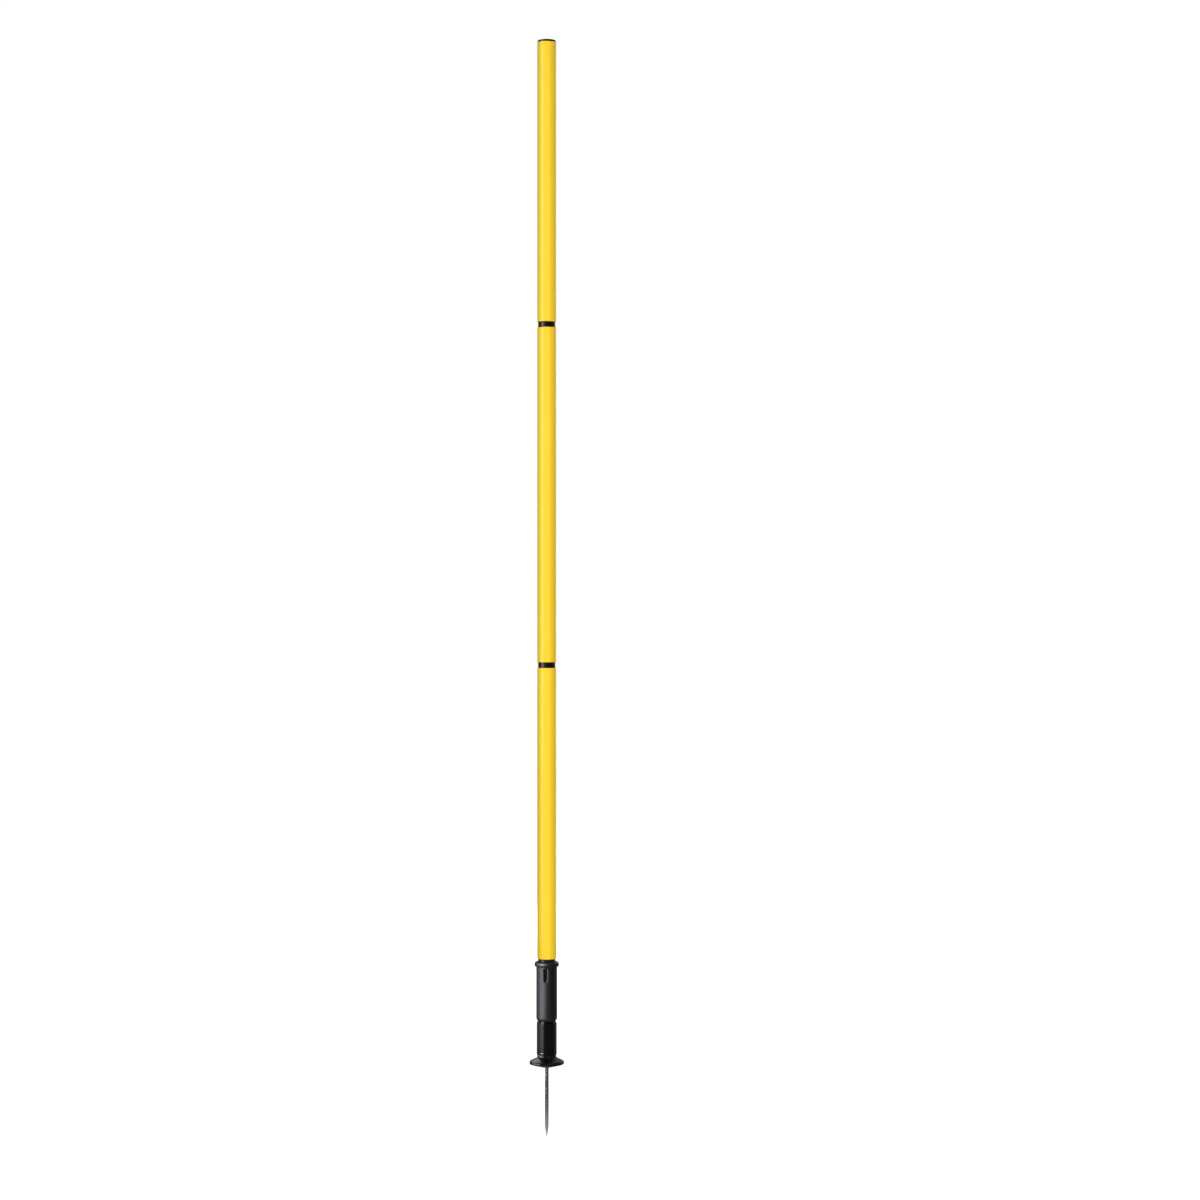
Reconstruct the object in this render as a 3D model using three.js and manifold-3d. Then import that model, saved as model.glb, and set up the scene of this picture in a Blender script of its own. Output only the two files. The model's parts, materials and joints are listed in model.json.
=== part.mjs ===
// A three-section slalom pole on a sprung ground spike.
// Lengths are in millimetres and +Z is up. The origin is on the pole's axis at ground level, where
// the underside of the foot meets the turf, and the slot in the socket sleeve faces -Y.

import * as THREE from 'three';
import { mergeVertices } from 'three/addons/utils/BufferGeometryUtils.js';
import Module from 'manifold-3d';

const wasm = await Module();
wasm.setup();

// Fits shared by the whole pole
const SLIDE_GAP = 0.3; // radial room between pieces that push or slide together
const SEAT_GAP = 0.1; // room between faces that rest on each other
const OVERRUN = 2; // how far a cutter runs past the face that it opens
const LEAD_IN = 1.2; // chamfer on every end that is pushed into something
const EDGE_BREAK = 0.5; // small chamfer on the other edges

// The three plastic tubes
const TUBE_DIAMETER = 30;
const TUBE_WALL = 2.2;
const LOWER_TUBE_LENGTH = 462.6;
const MIDDLE_TUBE_LENGTH = 531;
const TOP_TUBE_LENGTH = 444;

// The two connectors, which show as dark bands between the tubes
const BAND_RECESS = 1.25; // how far the band lies inside the tube's surface
const BAND_HEIGHT = 8.7;
const ROOT_LENGTH = 40; // glued into the tube below
const SPIGOT_LENGTH = 50; // pushed into the tube above
const PLUG_WALL = 2.6;
const RIB_WIDTH = 1.8;
const RIB_HEIGHT = 0.2; // the grip ribs take up most of the sliding gap
const SLIT_WIDTH = 2.2;
const SLIT_LENGTH = 26;

// The cap on top
const CAP_INSET = 0.4; // how far its edge lies inside the tube's surface
const CAP_EDGE_HEIGHT = 1.7;
const CAP_CROWN_HEIGHT = 1.2;
const CAP_STEM_LENGTH = 18;

// The socket sleeve that takes the pole
const SOCKET_WALL = 2.6;
const SOCKET_DEPTH = 86.9;
const SOCKET_FLOOR = 4;
const LIP_BEAD_RADIUS = 4.7; // the lip is a round bead with a flat on top
const LIP_OVERHANG = 2.95;
const LIP_FLAT_WIDTH = 1;
const GROOVE_DEPTH = 2.3; // the V groove between sleeve and boot
const GROOVE_SLOPE_HEIGHT = 3.6;
const SLOT_WIDTH = 4.4; // where it goes through, inside its scooped edges
const SLOT_LENGTH = 18.4;
const SCOOP_WIDTH = 2.6; // the wide chamfer round the slot's outer edge
const SCOOP_DEPTH = 1.6;
const SCOOP_BELOW_LIP = 0.2;
const KEYWAY_DEPTH = 1.45; // the groove that lets the lug past the lip, inside the wall

// The ferrule that closes the lower tube and fills the socket
const FERRULE_BAND_HEIGHT = 3.1; // how much of it shows between the lip and the tube
const FERRULE_ROOT_LENGTH = 45;
const LUG_HEIGHT = 1.2;
const LUG_CROWN_HEIGHT = 0.6;

// The flexible boot round the return spring
const BOOT_INSET = 0.45; // how far the boot lies inside the sleeve's surface
const BOOT_WALL = 2.3;
const BOOT_LENGTH = 53;
const BOOT_TOP_SLOPE_HEIGHT = 3.4;
const BOOT_TOP_SLOPE_WIDTH = 1.7;
const BOOT_HEM_RADIUS = 1.2;
const BOOT_OVERLAP = 7; // how far it covers the foot below and the sleeve above

// The return spring and the two plugs that carry it
const WIRE_DIAMETER = 3;
const SPRING_TURNS = 7;
const SPRING_TO_BOOT = 2.2;
const COIL_SEAT_GAP = 0.4;
const TAIL_BEND_RADIUS = 2.2;
const PLUG_FLANGE_THICKNESS = 5;
const PLUG_FLANGE_MARGIN = 0.9; // beyond the coil
const PLUG_STEM_LENGTH = 7;
const PLUG_SHANK_LENGTH = 10;
const PLUG_SOCKET_WALL = 3.3; // the wall round the plug's shank

// The foot
const FOOT_DIAMETER = 54.8;
const FOOT_FLAT_DIAMETER = 14;
const FOOT_CONE_HEIGHT = 6.3;
const FOOT_RIM_THICKNESS = 2.9;
const FOOT_SLOPE_HEIGHT = 8.6;
const NECK_HEIGHT = 3.2;
const NECK_INSET = 1.1; // how far the neck lies inside the boot's surface
const FOOT_CONE_SHARES = [0.88, 0.76]; // outward and upward, where the underside's cone ends
const FOOT_TURN_SHARE = 0.87; // upward, where the underside turns into the rim
const RIM_TOP_SHARES = [0.2, 0.23]; // inward and upward, where the rim's rounding ends
const NECK_FOOT_SHARES = [0.88, 0.71]; // inward and upward, where the neck's fillet starts
const NECK_FILLET_SHARE = 0.79; // upward, where the fillet turns into the neck

// The spike and the fasteners
const SPIKE_DIAMETER = 6;
const SPIKE_LENGTH = 109.6;
const SPIKE_POINT_LENGTH = 17;
const SPIKE_TIP_RADIUS = 0.4;
const SPIKE_HEAD_DIAMETER = 13;
const SPIKE_HEAD_HEIGHT = 5;
const SPIKE_WASHER_DIAMETER = 18;
const SPIKE_WASHER_THICKNESS = 1.5;
const PIN_DIAMETER = 3;
const SCREW_DIAMETER = 5;
const SCREW_LENGTH = 16;
const SCREW_HEAD_DIAMETER = 9.4;
const SCREW_HEAD_HEIGHT = 3;
const SCREW_KEY_WIDTH = 3;
const SCREW_KEY_DEPTH_SHARE = 0.6;
const SCREW_WASHER_DIAMETER = 13;
const SCREW_WASHER_THICKNESS = 1.2;

// Counts
const TURNED_FACETS = 40;
const SMALL_FACETS = 20;
const CURVE_STEPS = 5; // steps along each curved stretch of a profile
const WIRE_SIDES = 5;
const WIRE_STEPS_PER_TURN = 8;
const BEND_STEPS = 3;
const RIB_COUNT = 4;
const SLIT_CUTS = 2; // each cut slits both sides
const HEX_SIDES = 6;

// Radii that follow from the sizes above, from the tube inwards and outwards
const tubeRadius = TUBE_DIAMETER / 2;
const tubeBore = tubeRadius - TUBE_WALL;
const plugRadius = tubeBore - SLIDE_GAP;
const plugBore = plugRadius - PLUG_WALL;
const bandRadius = tubeRadius - BAND_RECESS;
const socketBore = bandRadius + SLIDE_GAP;
const sleeveRadius = socketBore + SOCKET_WALL;
const lipRadius = sleeveRadius + LIP_OVERHANG;
const mouthRadius = socketBore + LEAD_IN;
const beadCentreRadius = lipRadius - LIP_BEAD_RADIUS;
const lipFlatRadius = mouthRadius + LIP_FLAT_WIDTH;
const bootRadius = sleeveRadius - BOOT_INSET;
const bootBore = bootRadius - BOOT_WALL;
const bootSeatRadius = bootBore - SLIDE_GAP;
const plugSocketBore = bootSeatRadius - PLUG_SOCKET_WALL;
const shankRadius = plugSocketBore - SLIDE_GAP;
const wireRadius = WIRE_DIAMETER / 2;
const coilRadius = bootBore - SPRING_TO_BOOT - wireRadius;
const flangeRadius = coilRadius + wireRadius + PLUG_FLANGE_MARGIN;
const stemRadius = coilRadius * Math.cos(Math.PI / WIRE_STEPS_PER_TURN) - wireRadius - SLIDE_GAP;
const neckRadius = bootRadius - NECK_INSET;
const footRadius = FOOT_DIAMETER / 2;
const spikeRadius = SPIKE_DIAMETER / 2;
const lugRadius = SLOT_WIDTH / 2 - 2 * SLIDE_GAP;
const spikeHoleRadius = spikeRadius + SLIDE_GAP;
const screwHoleRadius = SCREW_DIAMETER / 2 + SLIDE_GAP;

// Heights above the ground, from the foot upwards
const rimTop = FOOT_CONE_HEIGHT + FOOT_RIM_THICKNESS;
const neckBase = rimTop + FOOT_SLOPE_HEIGHT;
const footShoulder = neckBase + NECK_HEIGHT;
const footTop = footShoulder + BOOT_OVERLAP;
const bootBottom = footShoulder + SEAT_GAP;
const sleeveShoulder = bootBottom + BOOT_LENGTH + SEAT_GAP;
const sleeveBottom = sleeveShoulder - BOOT_OVERLAP;
const lowerPlugSeat = footTop + SEAT_GAP;
const upperPlugSeat = sleeveBottom - SEAT_GAP;
const lowerShankEnd = lowerPlugSeat - PLUG_SHANK_LENGTH;
const plugSocketTop = upperPlugSeat + PLUG_SHANK_LENGTH + SEAT_GAP;
const socketFloor = plugSocketTop + SOCKET_FLOOR;
const lipTop = socketFloor + SOCKET_DEPTH;
const beadReach = (radius) => Math.sqrt(LIP_BEAD_RADIUS ** 2 - (radius - beadCentreRadius) ** 2);
const beadCentreHeight = lipTop - beadReach(lipFlatRadius);
const lipBottom = beadCentreHeight - beadReach(sleeveRadius);
const slotTop = lipBottom - SCOOP_BELOW_LIP - SCOOP_WIDTH;
const slotBottom = slotTop - SLOT_LENGTH;
const ferruleBottom = socketFloor + SEAT_GAP;
const ferruleLength = lipTop + FERRULE_BAND_HEIGHT - ferruleBottom;
const lowerTubeBottom = ferruleBottom + ferruleLength + SEAT_GAP;
const bandPitch = BAND_HEIGHT + 2 * SEAT_GAP;
const spikeHeadSeat = lowerShankEnd - SEAT_GAP - SPIKE_HEAD_HEIGHT;
const spikeWasherSeat = spikeHeadSeat - SEAT_GAP - SPIKE_WASHER_THICKNESS;
const headPocketFloor = spikeWasherSeat - SEAT_GAP;
const coilBottom = lowerPlugSeat + PLUG_FLANGE_THICKNESS + COIL_SEAT_GAP + wireRadius;
const coilTop = upperPlugSeat - PLUG_FLANGE_THICKNESS - COIL_SEAT_GAP - wireRadius;
const tailReach = TAIL_BEND_RADIUS + WIRE_DIAMETER;

// Finishes
const finish = (color, roughness, metalness = 0) =>
  new THREE.MeshStandardMaterial({ color, roughness, metalness });
const tubeYellow = finish(0xfadc42, 0.35);
const fittingBlack = finish(0x1f1e1b, 0.42);
const sleeveBlack = finish(0x30343a, 0.6);
const bootBlack = finish(0x12171b, 0.25);
const footBlack = finish(0x1b2022, 0.45);
const steel = finish(0xb9bdc1, 0.3, 1);

// Turns a closed geometry into a solid with its faces pointing out
function solidOf(geometry) {
  geometry.deleteAttribute('normal');
  geometry.deleteAttribute('uv');
  const merged = mergeVertices(geometry);
  const kept = [];
  const index = merged.index.array;
  for (let i = 0; i < index.length; i += 3) {
    const [a, b, c] = index.slice(i, i + 3);
    if (a !== b && b !== c && c !== a) kept.push(a, b, c);
  }
  const corner = (i) => new THREE.Vector3().fromBufferAttribute(merged.attributes.position, i);
  let volume = 0;
  for (let i = 0; i < kept.length; i += 3) {
    const [a, b, c] = kept.slice(i, i + 3).map(corner);
    volume += a.dot(b.cross(c));
  }
  if (volume < 0) kept.reverse();
  return new wasm.Manifold(
    new wasm.Mesh({
      numProp: 3,
      vertProperties: new Float32Array(merged.attributes.position.array),
      triVerts: new Uint32Array(kept),
    }),
  );
}

// A profile of [radius, height] stretches, turned about the pole's axis
function turned(path, facets = TURNED_FACETS) {
  const points = path.getPoints(CURVE_STEPS);
  if (path.getPoint(0).x > 0) points.push(points[0].clone());
  return solidOf(new THREE.LatheGeometry(points, facets).rotateX(Math.PI / 2));
}

// A path through [radius, height] corners
function corners(...places) {
  const path = new THREE.Path();
  path.moveTo(...places[0]);
  for (const place of places.slice(1)) path.lineTo(...place);
  return path;
}

// A round bar from one height to another, upright on the axis until it is moved
const rod = (radius, low, high, facets = SMALL_FACETS) =>
  solidOf(
    new THREE.CylinderGeometry(radius, radius, high - low, facets)
      .rotateX(Math.PI / 2)
      .translate(0, 0, (low + high) / 2),
  );

// A box given by its lowest and highest corners
function block(low, high) {
  const size = high.map((value, i) => value - low[i]);
  const middle = high.map((value, i) => (value + low[i]) / 2);
  return solidOf(new THREE.BoxGeometry(...size).translate(...middle));
}

const degrees = THREE.MathUtils.radToDeg;

// Copies of a solid spread evenly round the axis
function ring(solid, count, firstTurn, sweep = 2 * Math.PI) {
  const copies = [];
  for (let i = 0; i < count; i++) {
    copies.push(solid.rotate([0, 0, degrees(firstTurn + (i * sweep) / count)]));
  }
  return copies;
}

function mesh(name, solid, material) {
  const { vertProperties, triVerts } = solid.getMesh();
  const geometry = new THREE.BufferGeometry();
  geometry.setAttribute('position', new THREE.BufferAttribute(vertProperties, 3));
  geometry.setIndex(new THREE.BufferAttribute(triVerts, 1));
  geometry.computeVertexNormals();
  const piece = new THREE.Mesh(geometry, material);
  piece.name = name;
  return piece;
}

const at = (piece, height) => {
  piece.position.z = height;
  return piece;
};

// Thin raised ribs along a plug, which grip the bore it is pushed into
function gripRibs(radius, low, high, firstTurn) {
  const rib = block(
    [radius - RIB_HEIGHT, -RIB_WIDTH / 2, low + LEAD_IN],
    [radius + RIB_HEIGHT, RIB_WIDTH / 2, high - LEAD_IN],
  );
  return ring(rib, RIB_COUNT, firstTurn);
}

const joined = (solid, others) => others.reduce((sum, other) => sum.add(other), solid);
const cutBy = (solid, others) => others.reduce((rest, other) => rest.subtract(other), solid);

function tube(length) {
  return turned(
    corners(
      [tubeBore, EDGE_BREAK],
      [tubeBore + EDGE_BREAK, 0],
      [tubeRadius - EDGE_BREAK, 0],
      [tubeRadius, EDGE_BREAK],
      [tubeRadius, length - EDGE_BREAK],
      [tubeRadius - EDGE_BREAK, length],
      [tubeBore + EDGE_BREAK, length],
      [tubeBore, length - EDGE_BREAK],
    ),
  );
}

// A hollow plug glued into one tube, a band that shows, and a slit spigot that takes the next tube
function connector() {
  const spigotEnd = BAND_HEIGHT + SPIGOT_LENGTH;
  const body = turned(
    corners(
      [plugBore, -ROOT_LENGTH],
      [plugRadius - LEAD_IN, -ROOT_LENGTH],
      [plugRadius, LEAD_IN - ROOT_LENGTH],
      [plugRadius, 0],
      [bandRadius, 0],
      [bandRadius, BAND_HEIGHT],
      [plugRadius, BAND_HEIGHT],
      [plugRadius, spigotEnd - LEAD_IN],
      [plugRadius - LEAD_IN, spigotEnd],
      [plugBore, spigotEnd],
    ),
  );
  const ribs = gripRibs(plugRadius, BAND_HEIGHT, spigotEnd, 0);
  const slit = block(
    [-tubeRadius, -SLIT_WIDTH / 2, spigotEnd - SLIT_LENGTH],
    [tubeRadius, SLIT_WIDTH / 2, spigotEnd + OVERRUN],
  );
  return cutBy(joined(body, ribs), ring(slit, SLIT_CUTS, Math.PI / 4, Math.PI));
}

function cap() {
  const edge = tubeRadius - CAP_INSET;
  const profile = corners(
    [0, 0],
    [plugBore, 0],
    [plugBore, -CAP_STEM_LENGTH],
    [plugRadius - LEAD_IN, -CAP_STEM_LENGTH],
    [plugRadius, LEAD_IN - CAP_STEM_LENGTH],
    [plugRadius, 0],
    [edge, 0],
    [edge, CAP_EDGE_HEIGHT],
  );
  const crown = CAP_EDGE_HEIGHT + CAP_CROWN_HEIGHT;
  profile.bezierCurveTo(edge, crown, plugRadius, crown, 0, crown);
  return joined(turned(profile), gripRibs(plugRadius, -CAP_STEM_LENGTH, 0, 0));
}

// The ferrule's lug comes to rest in the round lower end of the sleeve's slot
function ferrule() {
  const rootEnd = ferruleLength + FERRULE_ROOT_LENGTH;
  const wideBore = bandRadius - PLUG_WALL;
  const body = turned(
    corners(
      [wideBore, 0],
      [bandRadius - LEAD_IN, 0],
      [bandRadius, LEAD_IN],
      [bandRadius, ferruleLength],
      [plugRadius, ferruleLength],
      [plugRadius, rootEnd - LEAD_IN],
      [plugRadius - LEAD_IN, rootEnd],
      [plugBore, rootEnd],
      [plugBore, ferruleLength],
      [wideBore, ferruleLength - PLUG_WALL],
    ),
  );
  const lugTop = bandRadius + LUG_HEIGHT;
  const lugProfile = corners(
    [0, wideBore + EDGE_BREAK],
    [lugRadius, wideBore + EDGE_BREAK],
    [lugRadius, lugTop - LUG_CROWN_HEIGHT],
  );
  lugProfile.quadraticCurveTo(lugRadius, lugTop, 0, lugTop);
  const lug = turned(lugProfile, SMALL_FACETS)
    .rotate([90, 0, 0])
    .translate([0, 0, slotBottom + SLIDE_GAP + lugRadius - ferruleBottom]);
  const ribs = gripRibs(bandRadius, 0, lipTop - ferruleBottom, Math.PI / 4);
  return joined(body, [lug, ...ribs]);
}

// The slot's outline pushed out through the wall, and flared where it leaves the sleeve
function slotCutter() {
  const half = SLOT_WIDTH / 2;
  const outline = new THREE.Shape();
  outline.moveTo(half, slotTop);
  outline.lineTo(-half, slotTop);
  outline.lineTo(-half, slotBottom + half);
  outline.absarc(0, slotBottom + half, half, Math.PI, 2 * Math.PI, false);
  const pushed = (start, flare) =>
    solidOf(
      new THREE.ExtrudeGeometry(outline, { curveSegments: CURVE_STEPS, ...flare })
        .rotateX(Math.PI / 2)
        .translate(0, -start, 0),
    );
  const through = pushed(0, { depth: sleeveRadius, bevelEnabled: false });
  const scoop = pushed(sleeveRadius, {
    depth: OVERRUN,
    bevelThickness: SCOOP_DEPTH,
    bevelSize: SCOOP_WIDTH,
    bevelSegments: 1,
  });
  return through.add(scoop);
}

// The sleeve's outline, from the bottom of its boot seat round to the plug socket under its floor
function sleeve() {
  const profile = corners(
    [plugSocketBore, sleeveBottom],
    [bootSeatRadius - EDGE_BREAK, sleeveBottom],
    [bootSeatRadius, sleeveBottom + EDGE_BREAK],
    [bootSeatRadius, sleeveShoulder],
    [sleeveRadius - GROOVE_DEPTH, sleeveShoulder],
    [sleeveRadius - EDGE_BREAK, sleeveShoulder + GROOVE_SLOPE_HEIGHT - EDGE_BREAK],
    [sleeveRadius, sleeveShoulder + GROOVE_SLOPE_HEIGHT],
  );
  const beadTurn = (radius) => Math.acos((radius - beadCentreRadius) / LIP_BEAD_RADIUS);
  profile.absarc(
    beadCentreRadius,
    beadCentreHeight,
    LIP_BEAD_RADIUS,
    -beadTurn(sleeveRadius),
    beadTurn(lipFlatRadius),
    false,
  );
  for (const place of [
    [mouthRadius, lipTop],
    [socketBore, lipTop - LEAD_IN],
    [socketBore, socketFloor],
    [screwHoleRadius, socketFloor],
    [screwHoleRadius, plugSocketTop],
    [plugSocketBore, plugSocketTop],
  ]) {
    profile.lineTo(...place);
  }
  const keyway = block(
    [-SLOT_WIDTH / 2, -(socketBore + KEYWAY_DEPTH), slotTop - OVERRUN],
    [SLOT_WIDTH / 2, 0, lipTop + OVERRUN],
  );
  return cutBy(turned(profile), [slotCutter(), keyway]);
}

function boot() {
  const top = BOOT_LENGTH;
  const profile = corners([bootBore, 0], [bootRadius - BOOT_HEM_RADIUS, 0]);
  profile.quadraticCurveTo(bootRadius, 0, bootRadius, BOOT_HEM_RADIUS);
  profile.lineTo(bootRadius, top - BOOT_TOP_SLOPE_HEIGHT);
  profile.lineTo(bootRadius - BOOT_TOP_SLOPE_WIDTH, top);
  profile.lineTo(bootBore, top);
  return turned(profile);
}

// A spring plug stands on its flange's seat: the shank goes down into its housing, the stem goes up
// into the coil, and the coil's tail drops into a blind hole in the flange
function springPlug() {
  const stemEnd = PLUG_FLANGE_THICKNESS + PLUG_STEM_LENGTH;
  const body = turned(
    corners(
      [0, -PLUG_SHANK_LENGTH],
      [shankRadius - LEAD_IN, -PLUG_SHANK_LENGTH],
      [shankRadius, LEAD_IN - PLUG_SHANK_LENGTH],
      [shankRadius, 0],
      [flangeRadius, 0],
      [flangeRadius, PLUG_FLANGE_THICKNESS],
      [stemRadius, PLUG_FLANGE_THICKNESS],
      [stemRadius, stemEnd - LEAD_IN],
      [stemRadius - LEAD_IN, stemEnd],
      [0, stemEnd],
    ),
  );
  const tailEnd = PLUG_FLANGE_THICKNESS + COIL_SEAT_GAP + wireRadius - tailReach;
  const tailHole = rod(
    wireRadius + SLIDE_GAP,
    tailEnd - SEAT_GAP,
    PLUG_FLANGE_THICKNESS + OVERRUN,
  ).translate([coilRadius, -TAIL_BEND_RADIUS, 0]);
  return body.subtract(tailHole);
}

const pinHeight = (footShoulder + footTop) / 2;
const pinHole = (height) =>
  rod(PIN_DIAMETER / 2 + SLIDE_GAP, -footRadius, footRadius)
    .rotate([0, 90, 0])
    .translate([0, 0, height]);

const pinReach = bootSeatRadius - SLIDE_GAP;
const pin = () => rod(PIN_DIAMETER / 2, -pinReach, pinReach);

// The round foot spreads the load on the turf. Its neck carries the boot, the plug and the spike's head
function foot() {
  const across = footRadius - FOOT_FLAT_DIAMETER / 2;
  const slopeWidth = footRadius - neckRadius;
  const headPocket = SPIKE_WASHER_DIAMETER / 2 + SLIDE_GAP;
  const profile = corners(
    [spikeHoleRadius, 0],
    [FOOT_FLAT_DIAMETER / 2, 0],
    [
      FOOT_FLAT_DIAMETER / 2 + across * FOOT_CONE_SHARES[0],
      FOOT_CONE_HEIGHT * FOOT_CONE_SHARES[1],
    ],
  );
  profile.quadraticCurveTo(
    footRadius,
    FOOT_CONE_HEIGHT * FOOT_TURN_SHARE,
    footRadius,
    FOOT_CONE_HEIGHT,
  );
  profile.lineTo(footRadius, rimTop);
  profile.quadraticCurveTo(
    footRadius,
    rimTop + (FOOT_SLOPE_HEIGHT * RIM_TOP_SHARES[1]) / 2,
    footRadius - slopeWidth * RIM_TOP_SHARES[0],
    rimTop + FOOT_SLOPE_HEIGHT * RIM_TOP_SHARES[1],
  );
  profile.lineTo(
    footRadius - slopeWidth * NECK_FOOT_SHARES[0],
    rimTop + FOOT_SLOPE_HEIGHT * NECK_FOOT_SHARES[1],
  );
  profile.quadraticCurveTo(
    neckRadius,
    rimTop + FOOT_SLOPE_HEIGHT * NECK_FILLET_SHARE,
    neckRadius,
    neckBase,
  );
  for (const place of [
    [neckRadius, footShoulder],
    [bootSeatRadius, footShoulder],
    [bootSeatRadius, footTop - EDGE_BREAK],
    [bootSeatRadius - EDGE_BREAK, footTop],
    [plugSocketBore, footTop],
    [plugSocketBore, lowerShankEnd - SEAT_GAP],
    [headPocket, lowerShankEnd - SEAT_GAP],
    [headPocket, headPocketFloor],
    [spikeHoleRadius, headPocketFloor],
  ]) {
    profile.lineTo(...place);
  }
  return turned(profile).subtract(pinHole(pinHeight));
}

function spike() {
  const headTop = spikeHeadSeat + SPIKE_HEAD_HEIGHT;
  const headRadius = SPIKE_HEAD_DIAMETER / 2;
  return turned(
    corners(
      [0, -SPIKE_LENGTH],
      [SPIKE_TIP_RADIUS, SPIKE_TIP_RADIUS - SPIKE_LENGTH],
      [spikeRadius, SPIKE_POINT_LENGTH - SPIKE_LENGTH],
      [spikeRadius, spikeHeadSeat],
      [headRadius, spikeHeadSeat],
      [headRadius, headTop - EDGE_BREAK],
      [headRadius - EDGE_BREAK, headTop],
      [0, headTop],
    ),
    SMALL_FACETS,
  );
}

function washer(diameter, hole, thickness) {
  return turned(
    corners([hole, 0], [diameter / 2, 0], [diameter / 2, thickness], [hole, thickness]),
    SMALL_FACETS,
  );
}

function screw() {
  const headRadius = SCREW_HEAD_DIAMETER / 2;
  const shank = SCREW_DIAMETER / 2;
  const profile = corners(
    [0, -SCREW_LENGTH],
    [shank - EDGE_BREAK, -SCREW_LENGTH],
    [shank, EDGE_BREAK - SCREW_LENGTH],
    [shank, 0],
    [headRadius, 0],
    [headRadius, SCREW_HEAD_HEIGHT / 2],
  );
  profile.quadraticCurveTo(headRadius, SCREW_HEAD_HEIGHT, shank, SCREW_HEAD_HEIGHT);
  profile.lineTo(0, SCREW_HEAD_HEIGHT);
  const keyRadius = SCREW_KEY_WIDTH / 2 / Math.cos(Math.PI / HEX_SIDES);
  const keyFloor = SCREW_HEAD_HEIGHT * (1 - SCREW_KEY_DEPTH_SHARE);
  const key = rod(keyRadius, keyFloor, SCREW_HEAD_HEIGHT + OVERRUN, HEX_SIDES);
  return turned(profile, SMALL_FACETS).subtract(key);
}

// The wire's centreline: a straight tail out of the lower plug, a bend, the coil, a bend and a tail
function springLine() {
  const line = [];
  const bend = (side, height) => {
    for (let i = 0; i <= BEND_STEPS; i++) {
      const turn = ((Math.PI / 2) * i) / BEND_STEPS;
      const along = side * TAIL_BEND_RADIUS * Math.cos(turn);
      const rise = TAIL_BEND_RADIUS * (1 - Math.sin(turn));
      line.push(new THREE.Vector3(coilRadius, along, height + side * rise));
    }
  };
  line.push(new THREE.Vector3(coilRadius, -TAIL_BEND_RADIUS, coilBottom - tailReach));
  bend(-1, coilBottom);
  const steps = SPRING_TURNS * WIRE_STEPS_PER_TURN;
  for (let i = 1; i < steps; i++) {
    const turn = (2 * Math.PI * i) / WIRE_STEPS_PER_TURN;
    const height = coilBottom + ((coilTop - coilBottom) * i) / steps;
    line.push(new THREE.Vector3(coilRadius * Math.cos(turn), coilRadius * Math.sin(turn), height));
  }
  const upper = line.length;
  bend(1, coilTop);
  line.push(...line.splice(upper).reverse());
  line.push(new THREE.Vector3(coilRadius, TAIL_BEND_RADIUS, coilTop + tailReach));
  return line;
}

// One unbroken tube of round section along a line of points
function wire(line, radius) {
  const positions = [];
  const index = [];
  const direction = (i) =>
    line[Math.min(i + 1, line.length - 1)].clone().sub(line[Math.max(i - 1, 0)]).normalize();
  let side = new THREE.Vector3(1, 0, 0);
  line.forEach((centre, i) => {
    const forward = direction(i);
    side = side.sub(forward.clone().multiplyScalar(side.dot(forward))).normalize();
    const across = forward.clone().cross(side);
    for (let j = 0; j < WIRE_SIDES; j++) {
      const turn = (2 * Math.PI * j) / WIRE_SIDES;
      const place = centre
        .clone()
        .addScaledVector(side, radius * Math.cos(turn))
        .addScaledVector(across, radius * Math.sin(turn));
      positions.push(...place.toArray());
      if (i > 0) {
        const here = i * WIRE_SIDES + j;
        const next = i * WIRE_SIDES + ((j + 1) % WIRE_SIDES);
        index.push(here - WIRE_SIDES, next - WIRE_SIDES, next);
        index.push(here - WIRE_SIDES, next, here);
      }
    }
  });
  const last = (line.length - 1) * WIRE_SIDES;
  for (let j = 1; j < WIRE_SIDES - 1; j++) {
    index.push(0, j + 1, j);
    index.push(last, last + j, last + j + 1);
  }
  const geometry = new THREE.BufferGeometry();
  geometry.setAttribute('position', new THREE.Float32BufferAttribute(positions, 3));
  geometry.setIndex(index);
  return solidOf(geometry);
}

// The least distance between the wire's surfaces on neighbouring turns
function leastGap(line) {
  let least = Infinity;
  const apart = WIRE_STEPS_PER_TURN / 2;
  for (let i = 0; i < line.length; i++) {
    for (let j = i + apart; j < line.length; j++) {
      least = Math.min(least, line[i].distanceTo(line[j]) - WIRE_DIAMETER);
    }
  }
  return least;
}

const coil = springLine();
console.log(`The return spring's turns clear each other by ${leastGap(coil).toFixed(2)} mm`);

// The pin crosses the lower plug's shank, and the screw comes down into the upper plug's
const screwWasherSeat = socketFloor + SEAT_GAP;
const screwHeadSeat = screwWasherSeat + SCREW_WASHER_THICKNESS + SEAT_GAP;
const screwHoleFloor = upperPlugSeat - screwHeadSeat + SCREW_LENGTH + EDGE_BREAK;
const screwHole = rod(screwHoleRadius, -PLUG_SHANK_LENGTH - OVERRUN, screwHoleFloor);
const lowerPlug = springPlug().subtract(pinHole(pinHeight - lowerPlugSeat));
const upperPlug = springPlug().subtract(screwHole);

// The assembly: each section stands in the one below it
const topSection = new THREE.Group();
topSection.position.z = MIDDLE_TUBE_LENGTH + bandPitch;
topSection.add(
  mesh('top_tube', tube(TOP_TUBE_LENGTH), tubeYellow),
  at(mesh('top_cap', cap(), fittingBlack), TOP_TUBE_LENGTH + SEAT_GAP),
);

const middleSection = new THREE.Group();
middleSection.position.z = LOWER_TUBE_LENGTH + bandPitch;
middleSection.add(
  mesh('middle_tube', tube(MIDDLE_TUBE_LENGTH), tubeYellow),
  at(mesh('upper_connector', connector(), fittingBlack), MIDDLE_TUBE_LENGTH + SEAT_GAP),
  topSection,
);

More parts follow.
